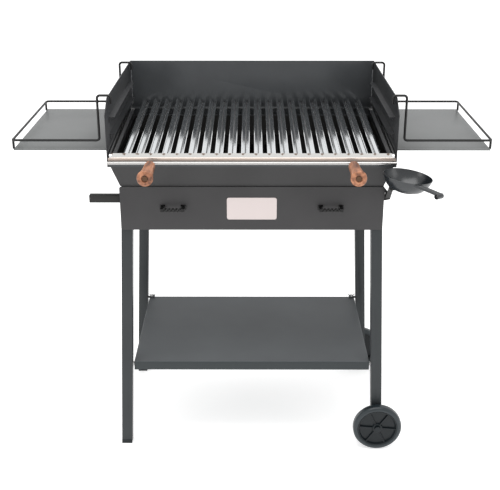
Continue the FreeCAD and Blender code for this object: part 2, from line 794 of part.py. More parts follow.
def drawer_runners():
    """Angle bars on the inner faces of the legs, which carry the drawer."""
    for side in ("left", "right"):
        body = new_body(f"Runner{side.title()}")
        profile = [
            ("runner_outside", "runner_top - runner_sheet"),
            ("runner_outside", "runner_top + runner_flange"),
            ("runner_outside - runner_sheet", "runner_top + runner_flange"),
            ("runner_outside - runner_sheet", "runner_top"),
            ("runner_outside - runner_flange", "runner_top"),
            ("runner_outside - runner_flange", "runner_top - runner_sheet"),
        ]
        length = "leg_spacing + leg_tube"
        pad(body, outline(body, "XZ_Plane", sided(profile, side)), length, back=True)
        node(place(body, y="leg_front_y"), f"runner_{side}")


def drawer():
    """The ash drawer: an open tray behind a front plate with a bare badge."""
    tray = new_body("DrawerTray")
    outer = rectangle("-tray_half", "0", "tray_half", "tray_depth")
    pad(tray, outline(tray, "XY_Plane", outer), "tray_height")
    inner = rectangle(
        "-(tray_half - tray_sheet)", "tray_sheet", "tray_half - tray_sheet", "tray_depth - tray_sheet"
    )
    space = outline(tray, "XY_Plane", inner, raised="tray_height")
    cut(tray, space, "2 * (tray_height - tray_sheet)")
    node(place(tray, y="front_back_y", z="tray_bottom"), "drawer_tray")
    front = new_body("DrawerFront")
    plate = rounded("front_half", "front_top - front_height", "front_top", "front_corner")
    pad(front, outline(front, "XZ_Plane", plate), "front_sheet")
    node(place(front, y="front_back_y"), "drawer_front")
    badge = new_body("DrawerBadge")
    plate = rounded("badge_width / 2", "-badge_height / 2", "badge_height / 2", "badge_corner")
    pad(badge, outline(badge, "XZ_Plane", plate), "badge_thickness")
    node(place(badge, y="front_face_y", z="badge_centre"), "drawer_badge")


def twisted_bar(name):
    """A square bar twisted evenly along X, as a ruled loft through turned squares."""
    span, half = size("handle_span - handle_post"), size("handle_bar") / 2
    steps = round(size("handle_steps"))
    squares = []
    for step in range(steps + 1):
        share = step / steps
        angle = math.radians(size("handle_twist") * share)
        corners = []
        for quarter in range(5):
            turn = angle + quarter * math.pi / 2
            across, up = half * math.sqrt(2) * math.cos(turn), half * math.sqrt(2) * math.sin(turn)
            corners.append(FreeCAD.Vector(span * (share - 1 / 2), across - size("handle_reach"), up))
        squares.append(Part.makePolygon(corners))
    item = DOC.addObject("Part::Feature", name)
    item.Shape = Part.makeLoft(squares, True, True)
    return item


def drawer_handles():
    """Twisted iron handles on the drawer's front, each on two posts with square feet."""
    for side, centre in (("left", "-handle_spacing / 2"), ("right", "handle_spacing / 2")):
        ends = new_body(f"HandleEnds{side.title()}")
        for place_x in ("-handle_span / 2", "handle_span / 2"):
            foot = square(place_x, "handle_foot")
            pad(ends, outline(ends, "XZ_Plane", foot), "handle_foot_thickness")
            post = square(place_x, "handle_post")
            pad(ends, outline(ends, "XZ_Plane", post), "handle_reach + handle_post / 2")
        ends.AllowCompound = True
        bar = twisted_bar(f"HandleTwist{side.title()}")
        handle = union(f"Handle{side.title()}", [ends, bar])
        node(place(handle, x=centre, y="front_face_y", z="handle_height"), f"drawer_handle_{side}")


def shelf():
    """The lower shelf with its edges folded down, and the pieces that hold it between the legs."""
    body = new_body("ShelfTray")
    outer = rectangle("-shelf_half", "0", "shelf_half", "shelf_depth")
    block = pad(body, outline(body, "XY_Plane", outer), "shelf_lip")
    DOC.recompute()
    top = [
        f"Edge{number}"
        for number, edge in enumerate(block.Shape.Edges, start=1)
        if edge.BoundBox.ZMin > size("shelf_lip / 2")
    ]
    bend = body.newObject("PartDesign::Fillet", "ShelfBend")
    bend.Base = (block, top)
    bind(bend, Radius="shelf_bend")
    inner = rectangle(
        "-(shelf_half - shelf_sheet)", "shelf_sheet", "shelf_half - shelf_sheet", "shelf_depth - shelf_sheet"
    )
    cut(body, outline(body, "XY_Plane", inner), "2 * (shelf_lip - shelf_sheet)")
    node(place(body, y="shelf_front_y", z="shelf_height - shelf_lip"), "shelf_tray")
    for side, sign in (("left", "-"), ("right", "")):
        spacer = new_body(f"ShelfSpacer{side.title()}")
        start = "shelf_half" if side == "right" else "-shelf_spacer_end"
        ring = circle(spacer, "YZ_Plane", "0", "0", "spacer_diameter / 2", raised=start)
        pad(spacer, ring, "shelf_spacer_end - shelf_half")
        seat = place(spacer, y="leg_front_y + leg_tube / 2", z="shelf_bolt_height")
        node(seat, f"shelf_spacer_{side}")
        lug = new_body(f"ShelfLug{side.title()}")
        lug_end = "foot_half_width - (shelf_height + lug_sheet) * leg_slant - leg_run"
        strip = rectangle(f"{lug_end} - lug_width", "leg_rear_y", lug_end, "shelf_back_y")
        pad(lug, outline(lug, "XY_Plane", sided(strip, side)), "lug_sheet")
        node(place(lug, z="shelf_height"), f"shelf_lug_{side}")
        wing = new_body(f"WingNut{side.title()}")
        pad(wing, circle(wing, "XY_Plane", "0", "0", "wing_hub / 2"), "wing_hub_height")
        blade = [
            ("-wing_span / 2", "wing_height"),
            ("-wing_hub / 2", "0"),
            ("wing_hub / 2", "0"),
            ("wing_span / 2", "wing_height"),
            ("wing_hub / 2", "wing_hub_height"),
            ("-wing_hub / 2", "wing_hub_height"),
        ]
        pad(wing, outline(wing, "XZ_Plane", blade), "wing_gauge", middle=True)
        across = f"{sign}(shelf_half - wing_hub)"
        along = "(leg_rear_y + shelf_back_y) / 2"
        node(place(wing, x=across, y=along, z="shelf_height + lug_sheet"), f"wing_nut_{side}")


def wheels():
    """Two wheels beside the right legs. Each turns on its own bolt, which passes through the leg."""
    for end, start in (("front", "wheel_front_y"), ("rear", "wheel_rear_y")):
        facing = end == "front"
        body = new_body(f"Wheel{end.title()}")
        bore = "axle_diameter / 2 + axle_play"
        web = "wheel_web_inset + wheel_web"
        section = [
            ("0", bore),
            ("wheel_width", bore),
            ("wheel_width", "wheel_hub / 2"),
            (web, "wheel_hub / 2"),
            (web, "rim_radius - wheel_rim_gauge"),
            ("wheel_width", "rim_radius - wheel_rim_gauge"),
            ("wheel_width", "rim_radius"),
            ("0", "rim_radius"),
            ("0", "rim_radius - wheel_rim_gauge"),
            ("wheel_web_inset", "rim_radius - wheel_rim_gauge"),
            ("wheel_web_inset", "wheel_hub / 2"),
            ("0", "wheel_hub / 2"),
        ]
        turned(body, outline(body, "YZ_Plane", section), "H_Axis")
        rib = rectangle(
            "wheel_hub / 2 - wheel_rib", "-wheel_rib / 2", "rim_radius - wheel_rim_gauge / 2", "wheel_rib / 2"
        )
        sketch = outline(body, "XZ_Plane", rib, raised="-wheel_rib_step")
        blade = pad(body, sketch, "wheel_web_inset - wheel_rib_step + wheel_web / 2", back=True)
        ring_row(body, blade, "Y_Axis", round(size("wheel_ribs")))
        spin = (FreeCAD.Vector(0, 0, 1), "half_turn")
        where = {"x": "axle_x", "z": "axle_height"}
        if facing:
            node(place(body, y=start, **where), "wheel_front")
        else:
            node(place(body, y=f"{start} + wheel_width", turn=spin, **where), "wheel_rear")
        tyre = new_body(f"Tyre{end.title()}")
        seat = "rim_radius + tyre_clearance"
        section = [
            ("0", seat),
            ("wheel_width", seat),
            ("wheel_width", "wheel_radius - tyre_shoulder", "tyre_shoulder"),
            ("wheel_width - tyre_shoulder", "wheel_radius"),
            ("tyre_shoulder", "wheel_radius", "tyre_shoulder"),
            ("0", "wheel_radius - tyre_shoulder"),
        ]
        turned(tyre, outline(tyre, "YZ_Plane", section), "H_Axis")
        node(place(tyre, y=start, **where), f"tyre_{end}")
        bolt = new_body(f"Axle{end.title()}")
        grip = "wheel_width + wheel_gap + leg_tube + 2 * axle_end_play"
        pad(bolt, circle(bolt, "XZ_Plane", "0", "0", "axle_diameter / 2"), grip, back=True)
        pad(bolt, circle(bolt, "XZ_Plane", "0", "0", "axle_head / 2"), "axle_head_height")
        nut = circle(bolt, "XZ_Plane", "0", "0", "axle_nut / 2", raised=f"-({grip})")
        pad(bolt, nut, "axle_nut_height", back=True)
        if facing:
            node(place(bolt, y=f"{start} - axle_end_play", **where), "axle_front")
        else:
            last = f"{start} + wheel_width + axle_end_play"
            node(place(bolt, y=last, turn=spin, **where), "axle_rear")


def rounded_path(corners, radius):
    """A wire of straight runs with an arc of the same radius at each inner corner."""
    edges = []
    start = corners[0]
    for before, corner, after in zip(corners, corners[1:], corners[2:]):
        inward = (before - corner).normalize()
        outward = (after - corner).normalize()
        reach = radius / math.tan(inward.getAngle(outward) / 2)
        first, last = corner + inward * reach, corner + outward * reach
        middle = (inward + outward).normalize()
        centre = corner + middle * math.hypot(radius, reach)
        edges.append(Part.LineSegment(start, first).toShape())
        edges.append(Part.Arc(first, centre - middle * radius, last).toShape())
        start = last
    edges.append(Part.LineSegment(start, corners[-1]).toShape())
    return Part.Wire(edges)


def bent_rod(name, corners, radius, diameter):
    """A round rod swept along a path with rounded corners."""
    path = rounded_path(corners, radius)
    direction = corners[1] - corners[0]
    ring = Part.Wire([Part.makeCircle(diameter / 2, corners[0], direction)])
    item = DOC.addObject("Part::Feature", name)
    item.Shape = path.makePipeShell([ring], True, False)
    return item


def side_tables():
    """Lift-off tables: a rod frame hooked over the wall, and a plate held by posts below its rail."""
    for side, sign in (("left", -1), ("right", 1)):
        table_rod(side, sign)
        plate = new_body(f"TablePlate{side.title()}")
        reach = "table_reach - table_rod / 2 - hook_clearance - table_plate_gap"
        profile = rectangle("0", "0", reach, "table_depth")
        pad(plate, outline(plate, "XY_Plane", sided(profile, side)), "table_plate_lip")
        under = rectangle(
            "table_sheet", "table_sheet", f"{reach} - table_sheet", "table_depth - table_sheet"
        )
        space = outline(plate, "XY_Plane", sided(under, side))
        cut(plate, space, "2 * (table_plate_lip - table_sheet)")
        inner = "half_width + table_plate_gap"
        across = inner if side == "right" else f"-({inner})"
        along = "table_front_y - table_plate_shift"
        seat = place(plate, x=across, y=along, z="table_plate_low")
        node(seat, f"table_{side}_plate")


def table_rod(side, sign):
    """The rod that hooks over the wall at both ends and makes the rail, with posts down to the plate."""
    near, far = size("table_front_y"), size("table_front_y + table_depth")
    hook = size("wall_inside - table_bend")
    upright, outer = size("table_upright"), size("table_rail_outside")
    low, top = size("table_rail_height"), size("table_hook_height")
    tip = size("shield_top - hook_drop")
    route = [
        (hook, near, tip),
        (hook, near, top),
        (upright, near, top),
        (upright, near, low),
        (outer, near, low),
        (outer, far, low),
        (upright, far, low),
        (upright, far, top),
        (hook, far, top),
        (hook, far, tip),
    ]
    corners = [FreeCAD.Vector(sign * across, along, height) for across, along, height in route]
    rod = bent_rod(f"Rod{side.title()}", corners, size("table_bend"), size("table_rod"))
    posts = new_body(f"TablePosts{side.title()}")
    for along in ("table_front_y + table_bend", "table_front_y + table_depth - table_plate_post"):
        across = "table_rail_outside" if sign > 0 else "-table_rail_outside"
        post = circle(posts, "XY_Plane", across, along, "table_rod / 2", raised="table_plate_low")
        pad(posts, post, "table_rail_height - table_plate_low")
    frame = union(f"TableRod{side.title()}", [rod, posts])
    node(place(frame), f"table_{side}_rod")


def pan_place(item, label):
    """Puts a piece of the drip pan at its rim's centre, tilted down to the right."""
    tilt = (FreeCAD.Vector(0, 1, 0), "pan_tilt")
    return node(place(item, x="pan_centre_x", y="-pan_front_y", z="pan_rim_height", turn=tilt), label)


def drip_pan():
    """The drip pan with its curved side, and its flat handle with a loop at the end."""
    bowl = new_body("PanBowl")
    section = [
        ("0", "-pan_depth"),
        ("pan_floor / 2", "-pan_depth", "pan_side_radius"),
        ("pan_rim / 2", "0"),
        ("pan_rim / 2 - pan_sheet", "0", "-pan_side_radius"),
        ("pan_floor / 2", "pan_sheet - pan_depth"),
        ("0", "pan_sheet - pan_depth"),
    ]
    turned(bowl, outline(bowl, "XZ_Plane", section), "V_Axis")
    pan_place(bowl, "pan_bowl")
    handle = new_body("PanHandle")
    root_x = "pan_root * sin(pan_handle_place)"
    root_y = "-pan_root * cos(pan_handle_place)"
    half_x = "pan_handle_width / 2 * cos(pan_handle_turn)"
    half_y = "pan_handle_width / 2 * sin(pan_handle_turn)"
    tip_x = f"{root_x} + pan_handle_length * sin(pan_handle_turn)"
    tip_y = f"{root_y} - pan_handle_length * cos(pan_handle_turn)"
    strap = [
        (f"{root_x} - {half_x}", f"{root_y} - {half_y}"),
        (f"{tip_x} - {half_x}", f"{tip_y} - {half_y}"),
        (f"{tip_x} + {half_x}", f"{tip_y} + {half_y}"),
        (f"{root_x} + {half_x}", f"{root_y} + {half_y}"),
    ]
    low = "-pan_handle_gauge - pan_sheet"
    pad(handle, outline(handle, "XY_Plane", strap, raised=low), "pan_handle_gauge")
    loop = circle(handle, "XY_Plane", tip_x, tip_y, "pan_loop / 2", raised=low)
    pad(handle, loop, "pan_handle_gauge")
    hole = circle(handle, "XY_Plane", tip_x, tip_y, "pan_loop_hole / 2", raised=low)
    cut(handle, hole, "2 * (pan_handle_gauge + overrun)")
    clear = circle(handle, "XY_Plane", "0", "0", "pan_rim / 2 + seat_clearance", raised=low)
    cut(handle, clear, "2 * (pan_handle_gauge + overrun)")
    pan_place(handle, "pan_handle")


def pan_bracket():
    """An ear on the front right leg with an arm that ends in a round seat under the pan."""
    ear = new_body("BracketEar")
    leg_outside = "foot_half_width - ear_low * leg_slant"
    outer = f"{leg_outside} + ear_reach"
    profile = [
        (f"{leg_outside} - leg_run / 2", "ear_low"),
        (f"{outer} - arm_width", "ear_low"),
        (outer, "ear_low + ear_sheet"),
        (outer, "ear_low + ear_height - ear_drop"),
        (leg_outside, "ear_low + ear_height"),
        (f"{leg_outside} - leg_run / 2", "ear_low + ear_height"),
    ]
    pad(ear, outline(ear, "XZ_Plane", profile), "ear_sheet")
    arm = new_body("BracketArm")
    climb = [
        ("-ear_sheet / 2", "ear_low + ear_sheet"),
        ("-ear_sheet / 2", "ear_low + ear_sheet + arm_gauge"),
        ("-leg_front_y - arm_bend_y", "arm_height + arm_gauge"),
        ("-leg_front_y - pan_front_y", "arm_height + arm_gauge"),
        ("-leg_front_y - pan_front_y", "arm_height"),
        ("-leg_front_y - arm_bend_y", "arm_height"),
    ]
    sketch = outline(arm, "YZ_Plane", climb, raised=f"{outer} - arm_width")
    pad(arm, sketch, "arm_width")
    seat_x = "pan_centre_x - pan_depth * sin(pan_tilt)"
    bridge = rectangle(
        f"{outer} - arm_width",
        "-leg_front_y - pan_front_y",
        seat_x,
        "-leg_front_y - pan_front_y + arm_width",
    )
    pad(arm, outline(arm, "XY_Plane", bridge, raised="arm_height"), "arm_gauge")
    seat = DOC.addObject("Part::Cylinder", "BracketSeat")
    bind(seat, Radius="seat_diameter / 2", Height="seat_thickness")
    drop = "(pan_depth + seat_clearance + seat_thickness)"
    tilt = (FreeCAD.Vector(0, 1, 0), "pan_tilt")
    across = f"pan_centre_x - {drop} * sin(pan_tilt)"
    place(seat, x=across, z=f"pan_rim_height - {drop} * cos(pan_tilt)", turn=tilt)
    seat.setExpression("Placement.Base.y", bound("-leg_front_y - pan_front_y"))
    bracket = union("PanBracket", [ear, arm, seat])
    node(place(bracket, y="leg_front_y"), "pan_bracket")


def check():
    """Stops if any object failed, or any sub-part has no sound shape."""
    for item in DOC.Objects:
        if "Invalid" in item.State or "Error" in item.State:
            raise RuntimeError(f"{item.Name} failed: {item.State}")
    for item in NODES:
        if item.Shape.isNull() or not item.Shape.isValid():
            raise RuntimeError(f"{item.Label} has no sound shape")


def write():
    """Writes each sub-part under its own name."""
    os.makedirs("parts", exist_ok=True)
    for item in NODES:
        item.Shape.exportStep(f"parts/{item.Label}.step")


def build():
    """Makes the whole grill."""
    fill_sheet()
    walls()
    hopper()
    ash_floor()
    legs()
    guides()
    grate_guides()
    trough()
    grate_bars()
    grate_frame()
    grips()
    lift_bars()
    drawer_runners()
    drawer()
    drawer_handles()
    shelf()
    wheels()
    side_tables()
    drip_pan()
    pan_bracket()
    DOC.recompute()
    check()
    write()


build()
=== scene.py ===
import json
import math

import bmesh
import bpy
from mathutils import Matrix, Vector
from mathutils.bvhtree import BVHTree

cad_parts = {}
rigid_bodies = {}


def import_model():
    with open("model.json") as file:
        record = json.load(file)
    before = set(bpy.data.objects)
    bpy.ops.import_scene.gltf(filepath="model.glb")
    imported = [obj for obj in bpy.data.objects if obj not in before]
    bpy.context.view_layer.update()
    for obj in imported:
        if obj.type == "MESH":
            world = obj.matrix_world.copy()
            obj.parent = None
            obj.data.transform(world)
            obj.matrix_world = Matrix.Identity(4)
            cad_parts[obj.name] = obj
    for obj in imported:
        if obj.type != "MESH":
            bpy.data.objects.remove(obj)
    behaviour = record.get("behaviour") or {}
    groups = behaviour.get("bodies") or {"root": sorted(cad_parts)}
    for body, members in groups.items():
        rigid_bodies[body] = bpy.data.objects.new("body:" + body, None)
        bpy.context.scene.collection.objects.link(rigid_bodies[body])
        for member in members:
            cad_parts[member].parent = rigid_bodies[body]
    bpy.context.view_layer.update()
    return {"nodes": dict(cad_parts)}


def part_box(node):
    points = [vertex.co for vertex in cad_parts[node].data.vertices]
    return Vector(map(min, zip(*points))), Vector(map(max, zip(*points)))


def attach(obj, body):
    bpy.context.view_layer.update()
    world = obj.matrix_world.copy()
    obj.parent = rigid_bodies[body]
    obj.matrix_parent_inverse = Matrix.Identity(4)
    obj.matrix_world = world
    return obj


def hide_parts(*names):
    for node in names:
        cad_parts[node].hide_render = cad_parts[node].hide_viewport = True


# A charcoal grill in a pale studio. Metres, with X to the right, Y to the back and Z up.

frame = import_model()
nodes = frame["nodes"]

# The picture: 500 by 490 pixels, seen from the front and 22 degrees above.
PICTURE_WIDTH = 500
FOCAL_PIXELS = 921
SENSOR = 36.0
CAMERA_TILT = math.radians(90 - 22.154)
CAMERA_TURN = math.radians(0.12)
CAMERA_DISTANCE = 2.312
CAMERA_HEIGHT = 1.5934
CAMERA_REACH = 50

# The studio: half the floor's side, its glow, and each light's place, aim, size and power in watts.
FLOOR = 12.0
FLOOR_GLOW = 0.45
FLOOR_CLOUD = (3.0, 2.0)
FLOOR_TONES = ((0.9, 0.9, 0.9), (0.92, 0.92, 0.92))
FLOOR_ROUGHNESS = 0.9
LIGHTS = {
    "Top": ((0.0, -0.6, 3.2), (0, 0.1, 0.9), (2.6, 1.8), 42),
    "Left": ((-3.2, -1.6, 1.9), (0, 0, 0.7), (1.4, 2.0), 20),
    "Right": ((3.2, -1.4, 1.7), (0, 0, 0.7), (1.4, 2.0), 11),
}

# Rounded edges, and the angles that tell flat faces, folds and creases apart.
MERGE = 1e-6
EDGE = 0.0005
EDGE_STEPS = 2
EDGE_PROFILE = 0.6
BLOCK_STEPS = 3
BLOCK_PROFILE = 0.7
CORNER_STEPS = 5
FLAT_ANGLE = math.radians(1)
FOLD_ANGLE = math.radians(30)
COPY_CREASE = math.radians(40)
PIECE_CREASE = math.radians(35)

# The wheels. Depths are measured from the tyre's outer face.
WHEEL_STEPS = 96
HUB_SHARE = 0.24
BORE_SHARE = 0.105
WHEEL_WALL = 0.0035
WHEEL_DISH = 0.009
RIM_DEPTH = 0.001
HUB_DEPTH = 0.002
RIM_SLOPE = 0.003
HUB_SLOPE = 0.002
DISC_ROUND = 0.0012
RIBS = 6
RIB_TURN = 0.08
RIB_DEPTH = 0.0035
RIB_LAP = 0.002
RIB_ROOT = 0.001
RIB_EDGE = 0.0008
SHOULDER = 0.007
SHOULDER_BEND = (0.002, 0.003)
TREAD_ROUND = 0.0025

# The grate's bars and strip, the marks that welding left on them, and where shade is painted on them and in
# the trough.
BARS = 20
BAR_PITCH = 0.0345
STRIP_DEPTH = 0.0106
STRIP_SHEET = 0.0015
STRIP_LAP = STRIP_SHEET / 4
FACE_DEPTH = 0.0011
FACE_FOOT = (0.0215, 0.0235)
VALLEY = (0.0092, 0.0116)
MARK_OFFSET = 0.006
MARK_STRETCH = 1.6
MARK_RAGGED = 0.012
MARK_EDGE = (0.009, 0.0125)
TROUGH_INSIDE = (-0.001, 0.004)

# Weld beads, rivets and the ear's screw. A tip is the radius that closes a turned form.
TIP = 0.0001
WELD_RADIUS = 0.0013
WELD_STEP = 0.004
WELD_SIDES = 16
WELD_RIPPLES = ((0.22, 1.7), (0.1, 0.6))
HEAD_SIDES = 24
HEAD_HEIGHT = 0.45
HEAD_SECTION = ((-1 / 3, 1), (0.3, 1), (0.75, 0.72), (0.95, 0.35))
RIVET = 0.0026
RIVET_TOWARDS = (-1, 1, 0)
SCREW = 0.0032
SCREW_INSET = 0.0165
SCREW_HEIGHT = 0.02
EAR_FOOT = 0.012
CLEAR_OF_EAR = 0.1

# The pan's handle and the eye at its end, and how far a face may lean and still count as its top or its side.
HANDLE_HALF = 0.009
HANDLE_DEPTH = 0.006
HANDLE_SHEET = 0.0014
GROOVE_HALF = 0.0022
GROOVE_DEPTH = 0.001
EYE_RADIUS = 0.007
EYE_LENGTH = 0.022
EYE_SIDES = 40
UPWARD = 0.9
UPRIGHT = 0.1

# Finishes with a skin of paint, plastic, rubber or enamel: what all share, and what each has of its own.
PAINT_CLOUD = (6.0, 3.0)
PAINT_STOPS = (0.3, 0.7)
PAINT_GLOSS = (-0.05, 0.07)
PEEL_DETAIL = 2.0
PEEL_STRENGTH = 0.5
USUAL_PAINT = {"grain": 900.0, "depth": 0.00006, "swing": 0.12, "specular": 0.3}
PAINTS = {
    "BodyPaint": {"colour": (0.031, 0.0305, 0.031), "roughness": 0.45},
    # The back and front walls' paint is lighter than the body's, as painted light.
    "BackPaint": {"colour": (0.047, 0.05, 0.053), "roughness": 0.2},
    "LeftPaint": {"colour": (0.03, 0.031, 0.033), "roughness": 0.36},
    # The right wall's paint is darker than the body's, as painted shade.
    "RightPaint": {"colour": (0.013, 0.014, 0.015), "roughness": 0.4},
    # The weld beads' paint is lighter than the body's, as a painted highlight.
    "WeldPaint": {"colour": (0.16, 0.165, 0.17), "roughness": 0.4},
    "FramePaint": {"colour": (0.027, 0.031, 0.033), "roughness": 0.42},
    # The lift bars' paint is darker than the frame's, as painted shade.
    "LiftBarPaint": {"colour": (0.014, 0.014, 0.013), "roughness": 0.42},
    "ShelfPaint": {"colour": (0.084, 0.091, 0.096), "roughness": 0.5, "grain": 600.0, "depth": 0.0001},
    "DrawerPaint": {"colour": (0.036, 0.035, 0.036), "roughness": 0.45},
    "HandleIron": {"colour": (0.003, 0.003, 0.003), "roughness": 0.16, "grain": 300.0, "depth": 0.0001},
    "BadgeWhite": {"colour": (0.56, 0.495, 0.483), "roughness": 0.35, "swing": 0.02},
    "TablePaint": {"colour": (0.14, 0.145, 0.145), "roughness": 0.4},
    "RodPaint": {"colour": (0.012, 0.012, 0.012), "roughness": 0.4},
    "PanEnamel": {"colour": (0.006, 0.009, 0.012), "roughness": 0.27, "specular": 0.7},
    "WheelPlastic": {"colour": (0.006, 0.009, 0.011), "roughness": 0.3},
    "TyreRubber": {"colour": (0.016, 0.023, 0.027), "roughness": 0.28, "specular": 0.45},
}

# Bare metals, with lines drawn out along the axis of the small stretch.
LINE_DETAIL = 6.0
LINE_STOPS = (0.25, 0.75)
LINE_DIM = 0.86
LINE_GLOSS = (0.8, 1.25)
LINE_DEPTH = 0.00005
USUAL_STEEL = {"stretch": (1, 1, 1), "grain": 60.0, "relief": 0.25}
STEELS = {
    "GrateSteel": {
        "colour": (0.9, 0.915, 0.925),
        "roughness": 0.085,
        "stretch": (1, 0.02, 1),
        "grain": 45.0,
        "relief": 0.03,
    },
    "RodSteel": {"colour": (0.94, 0.93, 0.92), "roughness": 0.09, "stretch": (1, 0.03, 1), "relief": 0.03},
    "TroughSteel": {"colour": (0.5, 0.49, 0.48), "roughness": 0.2, "stretch": (0.03, 1, 1)},
    "Zinc": {"colour": (0.5, 0.5, 0.5), "roughness": 0.35},
    # The grip rods' dark brown is painted shade of the recesses at the grips' ends.
    "DarkScrew": {"colour": (0.13, 0.075, 0.048), "roughness": 0.45},
}

# Weld marks, painted shade and a warm tint in other colours. Painted shade lies on the fire box's faces
# towards the fire, on the shelf's lip, in the bars' valleys, over the strip, at the foot of its face and
# inside the trough. Each patchy shade has the scale, stretch and least cover of its noise, and the fire's
# height above the ash floor is a share of the floor's depth.
FIRE_HEIGHT = 1 / 8
FIRE_BOX_PAINTED_SHADE = (0.006, 0.0055, 0.005)
SHELF_LIP_PAINTED_SHADE = (0.028, 0.034, 0.036)
VALLEY_PAINTED_SHADE = (0.055, 0.045, 0.04)
BROWN_WELD_AND_SHADE = (0.1, 0.075, 0.06)
STRIP_PAINTED_SHADE = (0.185, 0.183, 0.178)
FACE_SHADE = (0.48, 0.41, 0.365)
FOOT_PAINTED_SHADE = (0.05, 0.042, 0.036)
SHADE_PATCH_DETAIL = 5.0
BAR_SHADE_PATCHES = (45.0, (1.0, 0.25, 1.0), 0.55)
TROUGH_SHADE_PATCHES = (30.0, (1.0, 1.0, 1.0), 0.6)
BAR_DULLING = 0.4
FACE_DULLING = 0.25
TROUGH_DULLING = 0.35
MARK_SPECKS = (420.0, 2.0)

# Varnished wood, from its pores to its palest grain.
WOOD_GRAIN = (90.0, 8.0, (1.0, 0.06, 1.0))
WOOD_BLOTCH = (22.0, 3.0, (1.0, 0.5, 1.0))
WOOD_BLOTCH_SHARE = 0.35
WOOD_STOPS = (
    (0.36, (0.09, 0.031, 0.014)),
    (0.46, (0.24, 0.09, 0.04)),
    (0.55, (0.38, 0.155, 0.076)),
    (0.68, (0.48, 0.225, 0.118)),
)
WOOD_ROUGHNESS = (0.6, 0.42)
WOOD_COAT = (0.15, 0.3)
WOOD_RELIEF = (0.5, 0.0004)


def node_tree(name):
    """A new material with its tree and its shader."""
    material = bpy.data.materials.new(name)
    material.use_nodes = True
    tree = material.node_tree
    return material, tree, tree.nodes["Principled BSDF"]


def add(tree, kind, **settings):
    """Adds a shader node and sets its properties or its sockets by name."""
    item = tree.nodes.new(kind)
    for name, value in settings.items():
        if hasattr(item, name):
            setattr(item, name, value)
        else:
            item.inputs[name.replace("_", " ")].default_value = value
    return item


def object_noise(tree, scale, detail, stretch=(1.0, 1.0, 1.0)):
    """Noise in the object's own metres, stretched along its axes."""
    place = add(tree, "ShaderNodeTexCoord")
    mapping = add(tree, "ShaderNodeMapping", Scale=stretch)
    noise = add(tree, "ShaderNodeTexNoise", Scale=scale, Detail=detail)
    tree.links.new(place.outputs["Object"], mapping.inputs["Vector"])
    tree.links.new(mapping.outputs["Vector"], noise.inputs["Vector"])
    return noise.outputs["Fac"]


def ramp(tree, source, places, colours):
    """Maps a value to colours at the given places."""
    item = add(tree, "ShaderNodeValToRGB")
    band = item.color_ramp
    while len(band.elements) < len(places):
        band.elements.new(0.5)
    for element, place, colour in zip(band.elements, places, colours):
        element.position = place
        element.color = (*colour, 1.0)
    tree.links.new(source, item.inputs["Fac"])
    return item.outputs["Color"]


def spread(tree, source, low, high):
    """Maps a value from 0 to 1 to another range."""
    item = add(tree, "ShaderNodeMapRange", To_Min=low, To_Max=high)
    tree.links.new(source, item.inputs["Value"])
    return item.outputs["Result"]


def between(tree, value, low, high):
    """0 below the first number, 1 above the second and a smooth rise from one to the other."""
    item = add(tree, "ShaderNodeMapRange", interpolation_type="SMOOTHSTEP", From_Min=low, From_Max=high)
    tree.links.new(value, item.inputs["Value"])
    return item.outputs["Result"]


def bump(tree, source, shader, strength, distance):
    """Raises the shaded surface by a value."""
    item = add(tree, "ShaderNodeBump", Strength=strength, Distance=distance)
    tree.links.new(source, item.inputs["Height"])
    tree.links.new(item.outputs["Normal"], shader.inputs["Normal"])


def calculate(tree, operation, *values):
    """A shader sum of sockets and plain numbers."""
    item = add(tree, "ShaderNodeMath", operation=operation)
    for index, value in enumerate(values):
        if isinstance(value, (int, float)):
            item.inputs[index].default_value = value
        else:
            tree.links.new(value, item.inputs[index])
    return item.outputs["Value"]


def mixed(tree, share, first, second):
    """One colour passing into another; each is a socket or a colour."""
    item = add(tree, "ShaderNodeMix", data_type="RGBA")
    tree.links.new(share, item.inputs["Factor"])
    # The colour sockets come after those for numbers and vectors.
    for socket, value in ((item.inputs[6], first), (item.inputs[7], second)):
        if isinstance(value, tuple):
            socket.default_value = (*value, 1.0)
        else:
            tree.links.new(value, socket)
    return item.outputs[2]


def position(tree):
    """The X, Y and Z of each point in the object's own metres."""
    place = add(tree, "ShaderNodeTexCoord")
    item = add(tree, "ShaderNodeSeparateXYZ")
    tree.links.new(place.outputs["Object"], item.inputs["Vector"])
    return item.outputs["X"], item.outputs["Y"], item.outputs["Z"]


def facing_inside(tree, centre):
    """1 on the faces that look towards a point, and 0 on the faces that look away from it."""
    place = add(tree, "ShaderNodeTexCoord")
    shape = add(tree, "ShaderNodeNewGeometry")
    away = add(tree, "ShaderNodeVectorMath", operation="SUBTRACT")
    tree.links.new(place.outputs["Object"], away.inputs[0])
    away.inputs[1].default_value = centre
    dot = add(tree, "ShaderNodeVectorMath", operation="DOT_PRODUCT")
    tree.links.new(away.outputs["Vector"], dot.inputs[0])
    tree.links.new(shape.outputs["True Normal"], dot.inputs[1])
    return calculate(tree, "LESS_THAN", dot.outputs["Value"], 0.0)


def paint_tree(name):
    """A listed paint with a faint cloudiness, a fine orange peel and uneven gloss."""
    finish = USUAL_PAINT | PAINTS[name]
    material, tree, shader = node_tree(name)
    shader.inputs["Specular IOR Level"].default_value = finish["specular"]
    clouds = object_noise(tree, *PAINT_CLOUD)
    shares = (1 - finish["swing"], 1 + finish["swing"])
    tones = [tuple(channel * share for channel in finish["colour"]) for share in shares]
    shade = ramp(tree, clouds, PAINT_STOPS, tones)
    tree.links.new(shade, shader.inputs["Base Color"])
    gloss = spread(tree, clouds, *(finish["roughness"] + swing for swing in PAINT_GLOSS))
    tree.links.new(gloss, shader.inputs["Roughness"])
    peel = object_noise(tree, finish["grain"], PEEL_DETAIL)
    bump(tree, peel, shader, PEEL_STRENGTH, finish["depth"])
    return material, tree, shader, shade


